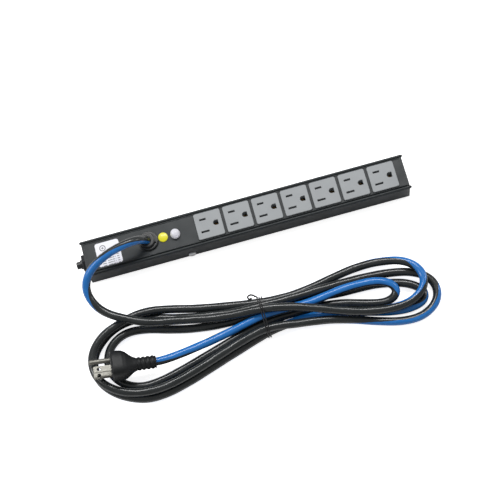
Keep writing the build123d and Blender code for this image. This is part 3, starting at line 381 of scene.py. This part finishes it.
def paint_frame():
    """Materials for every CAD node that stays on show."""
    outlets = [f"outlet_{i}" for i in range(1, 8)]
    # The housing's pale edge colour is mostly a painted highlight that draws the light lines along the rails, with some
    # edge wear
    metal = coat("housing_coating", (0.017, 0.021, 0.023), 0.46, 0.0, 0.14, 2200, 0.012, (0.26, 0.27, 0.28), 0.85,
                 Specular_IOR_Level=0.35)
    paint(metal, "housing_channel", "face_plate", "end_cap_left", "end_cap_right")
    grey = coat("outlet_moulding", (0.295, 0.31, 0.32), 0.5, 0.0, 0.05, 1700, 0.018, (0.5, 0.51, 0.52), 0.5,
                Specular_IOR_Level=0.3)
    paint(grey, *[name + "_face" for name in outlets])
    inner = coat("inner_moulding", (0.10, 0.10, 0.105), 0.5, 0.0, 0.1, 1200, 0.02, (0.2, 0.2, 0.2))
    paint(inner, "lamp_bodies", "plug_insert", *[name + "_back" for name in outlets])
    brass = drawn_metal("contact_brass", (0.72, 0.50, 0.20), 0.3)
    paint(brass, "hot_bus_bar", "neutral_bus_bar", "ground_bus_bar", "breaker_bridge", "breaker_line_terminal",
          "breaker_load_terminal")
    nickel = drawn_metal("blade_plating", (0.25, 0.245, 0.22), 0.5, (3, 14, 14))
    paint(nickel, "hot_blade", "neutral_blade", "ground_pin", "wire_terminals", "ground_ring_terminals")
    steel = drawn_metal("plated_steel", (0.85, 0.85, 0.86), 0.38)
    paint(steel, "bonding_screw", "bonding_nut", "lamp_clips", "lamp_leads", "breaker_spring", "breaker_bimetal")
    dark = coat("blackened_steel", (0.04, 0.042, 0.045), 0.34, 0.6, 0.2, 1500, 0.02, (0.4, 0.4, 0.41), 0.8)
    paint(dark, "end_cap_screws", "breaker_nut", "breaker_lock_washer")
    black = coat("black_moulding", (0.018, 0.019, 0.020), 0.34, 0.0, 0.25, 1500, 0.02, (0.09, 0.09, 0.095), 0.6)
    paint(black, "breaker_case", "breaker_button", "strain_relief_bushing", "strain_relief_lock")
    # Both lamp lenses get a painted glow that brightens them; the lamps are not lit
    paint(clear_plastic("clear_lens", (0.90, 0.90, 0.95), 0.5, 0.13), "clear_lamp_lens")
    paint(clear_plastic("yellow_lens", (0.74, 0.69, 0.02), 0.05, 0.06, 0.1), "yellow_lamp_lens")
    paint(clear_plastic("bulb_glass", (0.92, 0.88, 0.84), 0.9), "neon_bulbs")
    paint(coat("resistor_lacquer", (0.45, 0.34, 0.2), 0.35), "lamp_resistors")
    paint(coat("liner_fibre", (0.19, 0.17, 0.13), 0.8, 0.0, 0.2, 900, 0.03), "insulating_liner")
    paint(printed_label("label_print"), "rating_label")
    paint(coat("wire_black", (0.015, 0.015, 0.016), 0.4), "hot_lead", "breaker_load_lead")
    paint(coat("wire_white", (0.7, 0.7, 0.68), 0.4), "neutral_lead")
    paint(coat("wire_green", (0.03, 0.22, 0.07), 0.4), "ground_lead", "ground_jumper")


# --- Meshes ------------------------------------------------------------------------------------------

def smooth_line(points, step):
    """Points every step or so along a smooth curve through points, by chord length."""
    places = np.array([tuple(point) for point in points], dtype=float)
    gaps = np.linalg.norm(np.diff(places, axis=0), axis=1)
    at = np.concatenate([[0.0], np.cumsum(gaps)])
    count = len(places)
    rows = np.zeros((count, count))
    right = np.zeros((count, 3))
    rows[0, 0] = rows[-1, -1] = 1.0
    for i in range(1, count - 1):
        rows[i, i - 1:i + 2] = gaps[i - 1], 2 * (gaps[i - 1] + gaps[i]), gaps[i]
        right[i] = 6 * ((places[i + 1] - places[i]) / gaps[i] - (places[i] - places[i - 1]) / gaps[i - 1])
    bend = np.linalg.solve(rows, right)
    wanted = np.linspace(0.0, at[-1], int(at[-1] / step) + 1)
    i = np.clip(np.searchsorted(at, wanted, side="right") - 1, 0, count - 2)
    gap = gaps[i][:, None]
    after = (wanted - at[i])[:, None]
    before = gap - after
    line = (bend[i] * before**3 + bend[i + 1] * after**3) / (6 * gap)
    line += (places[i] / gap - bend[i] * gap / 6) * before + (places[i + 1] / gap - bend[i + 1] * gap / 6) * after
    return line, wanted, at


def directions(line, closed=False):
    """The unit direction at each point of a line."""
    if closed:
        ahead = np.roll(line, -1, axis=0) - np.roll(line, 1, axis=0)
    else:
        ahead = np.gradient(line, axis=0)
    return ahead / np.linalg.norm(ahead, axis=1)[:, None]


def carried_normals(heading, first):
    """A direction across the line at each point, carried along it without twist."""
    across = np.empty_like(heading)
    current = np.array(first, dtype=float)
    for i, ahead in enumerate(heading):
        current = current - ahead * np.dot(current, ahead)
        current /= np.linalg.norm(current)
        across[i] = current
    return across


def mesh_object(name, points, faces, material, body="strip", subdivide=0):
    """A smooth mesh from points in millimetres, riding on a body."""
    mesh = bpy.data.meshes.new(name)
    mesh.from_pydata([tuple(mm(point)) for point in points], [], faces)
    mesh.validate()
    mesh.shade_smooth()
    mesh.materials.append(material)
    made = bpy.data.objects.new(name, mesh)
    bpy.context.scene.collection.objects.link(made)
    if subdivide:
        made.modifiers.new("finer", "SUBSURF").render_levels = subdivide
        made.modifiers["finer"].levels = subdivide
    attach(made, body)
    return made


def tube_faces(rings, sides, closed):
    """Quads round a tube, with a fan of sides at each open end."""
    faces = []
    for i in range(rings if closed else rings - 1):
        here, there = i * sides, (i + 1) % rings * sides
        for j in range(sides):
            turn = (j + 1) % sides
            faces.append((here + j, here + turn, there + turn, there + j))
    if not closed:
        faces.append(tuple(reversed(range(sides))))
        faces.append(tuple(range((rings - 1) * sides, rings * sides)))
    return faces


def tube(name, line, radius, sides, material, first=(0, 0, 1), squeeze=1.0, closed=False):
    """A round or flattened wire along a line; radius may be one number, one per point or one per ring and side."""
    heading = directions(line, closed)
    across = carried_normals(heading, first)
    beside = np.cross(heading, across)
    radii = np.asarray(radius, dtype=float)
    if radii.ndim < 2:
        radii = np.broadcast_to(radii, (len(line),))[:, None]
    turn = np.linspace(0.0, 2 * math.pi, sides, endpoint=False)
    ring = across[:, None] * np.cos(turn)[None, :, None] * squeeze + beside[:, None] * np.sin(turn)[None, :, None]
    points = line[:, None] + ring * radii[:, :, None]
    made = mesh_object(name, points.reshape(-1, 3), tube_faces(len(line), sides, closed), material)
    return made, ring / np.linalg.norm(ring, axis=2)[:, :, None]


def make_cord():
    """The jacketed cord, with the direction of its blue band stored on the mesh."""
    points = []
    keys = []
    for stretch, places in COIL.items():
        for i, place in enumerate(places):
            if (stretch, i) in BAND:
                keys.append((len(points), BAND[stretch, i]))
            points.append(Vector(place))
    points.append(PLUG_REAR + (PLUG_FACE - PLUG_REAR).normalized() * 11.5)
    line, along, at = smooth_line(points, RING_STEP)
    marks = [at[number] for number, facing in keys]
    facing = np.stack([np.interp(along, marks, [way[k] for number, way in keys]) for k in range(3)], axis=1)
    turn = np.linspace(0.0, 2 * math.pi, CORD_SIDES, endpoint=False)
    lay = np.cos(3 * (turn[None, :] - 2 * math.pi * along[:, None] / CORD_LAY))
    swell = CORD_R * (1 + CORD_RIPPLE * lay)
    made, outward = tube("cord_jacket", line, swell, CORD_SIDES, cord_jacket("cord_jacket"))
    heading = directions(line)
    facing -= heading * np.sum(facing * heading, axis=1)[:, None]
    facing /= np.linalg.norm(facing, axis=1)[:, None]
    band = np.sum(outward * facing[:, None], axis=2)
    attribute = made.data.attributes.new("band", "FLOAT", "POINT")
    attribute.data.foreach_set("value", band.reshape(-1).astype(np.float32))
    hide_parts("power_cord")


def hull_loop(places, reach, step):
    """Points along the convex outline round places, standing off by reach."""
    loop = []
    corner = None
    for degrees in range(0, 360, 4):
        way = np.array([math.cos(math.radians(degrees)), math.sin(math.radians(degrees))])
        outermost = max(places, key=lambda place: place[0] * way[0] + place[1] * way[1])
        point = np.array(outermost) + way * reach
        if corner is not None and outermost != corner:
            span = int(np.linalg.norm(point - loop[-1]) / step)
            loop += [loop[-1] + (point - loop[-1]) * (k / (span + 1)) for k in range(1, span + 1)]
        corner = outermost
        loop.append(point)
    span = int(np.linalg.norm(loop[0] - loop[-1]) / step)
    last = loop[-1]
    loop += [last + (loop[0] - last) * (k / (span + 1)) for k in range(1, span + 1)]
    return np.array(loop)


def make_twist_tie():
    """A coated wire wrapped twice round the coil, its ends twisted together and curled."""
    coated = coat("tie_coating", (0.006, 0.006, 0.007), 0.5, 0.0, 0.2, 1500, 0.02)
    passes = [(y, z) for places in COIL.values() for x, y, z in places if x == TIE_X]
    loop = hull_loop(passes, CORD_R + TIE_WIRE_R + TIE_GAP, 1.5)
    top = int(np.argmax(loop[:, 0] + 0.5 * loop[:, 1]))
    loop = np.roll(loop, -top, axis=0)
    turns = np.concatenate([loop, loop, loop[:1]])
    drift = np.linspace(-2.2, 2.2, len(turns))
    wraps = np.column_stack([TIE_X + drift, turns])
    made, outward = tube("twist_tie_wraps", wraps, TIE_WIRE_R, 12, coated, (1, 0, 0), 1.0)
    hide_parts("twist_tie")
    root = wraps[0] + np.array([0.8, 0, 0.6])
    curl = [
        root, root + (-1.5, 1.0, 1.2), root + (-4, 3.2, 1.8), root + (-7.5, 4.4, 0.6), root + (-9.5, 3.0, -0.6),
        root + (-8.5, 1.0, -1.0), root + (-6.0, 1.2, 0.2),
    ]
    tail, along, at = smooth_line(curl, 0.5)
    heading = directions(tail)
    across = carried_normals(heading, (0, 0, 1))
    beside = np.cross(heading, across)
    for side in (0.0, math.pi):
        spin = along * 1.4 + side
        apart = np.minimum(0.55, along * 0.4)[:, None]
        strand = tail + (across * np.cos(spin)[:, None] + beside * np.sin(spin)[:, None]) * apart
        tube(f"twist_tie_end_{int(side > 0) + 1}", strand, 0.5, 10, coated)


def plug_matrix():
    """The plug's frame: x across the blades, y towards the ground pin, z out of the face."""
    out = (PLUG_FACE - PLUG_REAR).normalized()
    across = (BLADE_SIDE - out * BLADE_SIDE.dot(out)).normalized()
    turned = Matrix((across, out.cross(across), out)).transposed()
    return Matrix.Translation(PLUG_FACE) @ turned.to_4x4()


def make_plug():
    """The plug's moulded grip, with soft corners, a parting line and a ribbed strain relief."""
    rubber = coat("plug_rubber", (0.008, 0.009, 0.010), 0.48, 0.0, 0.25, 1300, 0.03, (0.04, 0.04, 0.042), 0.4,
                  Specular_IOR_Level=0.3)
    length = (PLUG_FACE - PLUG_REAR).length
    # Distance behind the face, half width, half height, how far the middle is towards the ground pin
    stations = [
        (0.15, 10.4, 12.4, 1.0), (0.6, 11.2, 13.2, 1.0), (1.8, 11.8, 13.8, 1.0), (5.0, 12.0, 14.0, 0.9),
        (11.0, 11.9, 13.7, 0.8), (14.5, 11.0, 12.5, 0.6), (17.5, 9.3, 10.3, 0.3), (21.0, 7.4, 7.8, 0.1),
        (24.5, 6.3, 6.3, 0.0), (27.0, 5.9, 5.9, 0.0),
    ]
    behind, wide, tall, middle = np.array(stations).T
    rib_start, pitch = PLUG_BODY, RIB_PITCH
    at = np.concatenate([np.linspace(0.15, 2.0, 12), np.arange(2.3, length, 0.28)])
    rings = []
    sides = 64
    turn = np.linspace(0.0, 2 * math.pi, sides, endpoint=False)
    for depth in at:
        half_wide = np.interp(depth, behind, wide)
        half_tall = np.interp(depth, behind, tall)
        if depth > rib_start:
            ridge = 0.5 + 0.5 * math.cos(2 * math.pi * (depth - rib_start) / pitch - math.pi)
            half_wide = half_tall = 5.7 + 0.85 * min(1.0, 1.7 * ridge)
        power = np.interp(depth, [0, 10, 20, 26], [3.4, 3.2, 2.5, 2.0])
        x = np.sign(np.cos(turn)) * np.abs(np.cos(turn)) ** (2 / power) * half_wide
        y = np.sign(np.sin(turn)) * np.abs(np.sin(turn)) ** (2 / power) * half_tall
        seam = np.exp(-(x / 0.45) ** 2) * 0.25 * float(depth < rib_start)
        y = y - np.sign(y) * seam + np.interp(depth, behind, middle)
        rings.append(np.column_stack([x, y, np.full(sides, -depth)]))
    place = plug_matrix()
    points = [place @ Vector(point) for point in np.concatenate(rings)]
    made = mesh_object("plug_grip", points, tube_faces(len(at), sides, False), rubber)
    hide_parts("plug_body")


PLUG_BODY = 25.0
RIB_PITCH = 4.4


# --- Room --------------------------------------------------------------------------------------------

def make_floor():
    """A wide pale floor under the strip."""
    bpy.ops.mesh.primitive_plane_add(size=12, location=(0, 0, -0.0003))
    floor = bpy.context.object
    floor.name = "floor"
    shader = Shader("floor_paper")
    tone = shader.mix(shader.noise(3, 3), (0.90, 0.90, 0.90, 1), (0.93, 0.93, 0.93, 1))
    shader.plug(tone, shader.surface.inputs["Base Color"])
    shader.surface.inputs["Roughness"].default_value = 0.9
    shader.surface.inputs["Specular IOR Level"].default_value = 0.1
    seen = shader.node("ShaderNodeLightPath").outputs["Is Camera Ray"]
    shader.surface.inputs["Emission Color"].default_value = (1, 1, 1, 1)
    shader.plug(shader.math("MULTIPLY", seen, FLOOR_GLOW), shader.surface.inputs["Emission Strength"])
    floor.data.materials.append(shader.material)


def add_light(name, place, aim, size, power, long=None):
    """A soft rectangular light that faces a point."""
    lamp = bpy.data.lights.new(name, "AREA")
    lamp.energy = power
    lamp.shape = "RECTANGLE"
    lamp.size = size
    lamp.size_y = long or size
    made = bpy.data.objects.new(name, lamp)
    made.location = place
    made.rotation_euler = (Vector(aim) - Vector(place)).to_track_quat("-Z", "Y").to_euler()
    bpy.context.scene.collection.objects.link(made)


def make_light():
    """A bright even room with a large soft box overhead and a weaker one from the left."""
    world = bpy.data.worlds.new("room")
    world.use_nodes = True
    world.node_tree.nodes["Background"].inputs["Color"].default_value = (1, 1, 1, 1)
    world.node_tree.nodes["Background"].inputs["Strength"].default_value = 0.3
    bpy.context.scene.world = world
    middle = (0, -0.06, 0.02)
    add_light("overhead", (0.1, 0.9, 1.5), middle, 1.4, 24.0, 0.22)
    add_light("left", (-1.3, 0.1, 1.1), middle, 0.25, 8.0, 0.9)
    add_light("right", (1.4, 0.2, 0.9), middle, 0.2, 4.0, 0.8)
    bpy.context.scene.view_settings.view_transform = "Standard"


def make_camera():
    """The camera at the photograph's angle."""
    data = bpy.data.cameras.new("camera")
    data.lens = CAMERA_LENS
    data.sensor_width = 36.0
    data.clip_end = 50.0
    made = bpy.data.objects.new("camera", data)
    back = -CAMERA_FORWARD.normalized()
    right = CAMERA_UP.cross(back).normalized()
    turned = Matrix((right, back.cross(right), back)).transposed()
    made.matrix_world = Matrix.Translation(mm(CAMERA_AT)) @ turned.to_4x4()
    bpy.context.scene.collection.objects.link(made)
    bpy.context.scene.camera = made


paint_frame()
make_cord()
make_twist_tie()
make_plug()
make_floor()
make_light()
make_camera()
